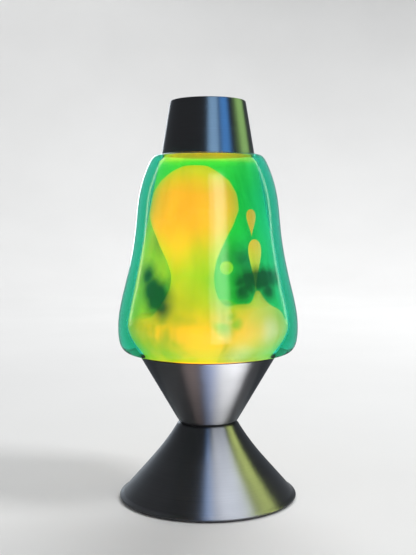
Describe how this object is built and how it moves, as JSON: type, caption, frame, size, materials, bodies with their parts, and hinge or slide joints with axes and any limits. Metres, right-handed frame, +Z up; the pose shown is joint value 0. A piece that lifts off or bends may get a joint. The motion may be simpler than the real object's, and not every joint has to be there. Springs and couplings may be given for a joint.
{
  "type": "lava lamp",
  "caption": "Lava lamp: tapered tinted glass bottle of glowing liquid and wax in a flared smoked-chrome hourglass base, under a lift-off metal cap.",
  "frame": {"origin": "centre of the footprint, on the surface that the lamp stands on", "axes": "+Z up the lamp's axis, -Y the front, +Y the rear with the cord inlet, +X to the right seen from the front"},
  "size_m": [0.1436, 0.1436, 0.316],
  "materials": {
    "smoked_chrome": "polished",
    "black_plastic": "satin",
    "steel": "satin",
    "zinc_screws": "satin",
    "black_rubber": "matte",
    "phenolic": "satin",
    "brass": "satin",
    "nickel": "satin",
    "clear_glass": "polished",
    "black_glass": "polished",
    "solder": "satin",
    "tungsten": "satin",
    "teal_glass": "polished",
    "green_liquid": "polished",
    "yellow_wax": "satin",
    "crown_metal": "gloss",
    "liner": "matte"
  },
  "bodies": {
    "base": {"foot_shell": "smoked_chrome", "cup_shell": "smoked_chrome", "waist_ring": "black_plastic", "waist_eyelet": "steel", "base_plate": "steel", "plate_lugs": "steel", "plate_screws": "zinc_screws", "rubber_feet": "black_rubber", "cord_grommet": "black_plastic", "holder_bracket": "steel", "bracket_rivets": "zinc_screws", "lampholder_body": "phenolic", "lampholder_shell": "brass", "holder_contact": "brass", "holder_nipple": "steel", "holder_nut": "zinc_screws", "terminal_screws": "brass"},
    "bulb": {"bulb_glass": "clear_glass", "bulb_base": "nickel", "bulb_insulator": "black_glass", "bulb_contact": "solder", "bulb_stem": "clear_glass", "bulb_supports": "nickel", "bulb_filament": "tungsten"},
    "bottle": {"bottle_glass": "teal_glass", "liquid": "green_liquid", "wax_mass": "yellow_wax", "wax_drops": "yellow_wax", "wire_coil": "steel", "crown_cap": "crown_metal", "crown_liner": "liner"},
    "cap": {"cap_shell": "smoked_chrome"}
  },
  "joints": [
    {"name": "bottle_lift", "type": "slide", "parent": "base", "child": "bottle", "axis": [0, 0, 1], "range_m": [0, 0.06]},
    {"name": "cap_lift", "type": "slide", "parent": "bottle", "child": "cap", "axis": [0, 0, 1], "range_m": [0, 0.05]},
    {"name": "bulb_turn", "type": "hinge", "parent": "base", "child": "bulb", "pos_m": [0, 0, 0.035], "axis": [0, 0, 1], "range_deg": [0, 1800]}
  ]
}
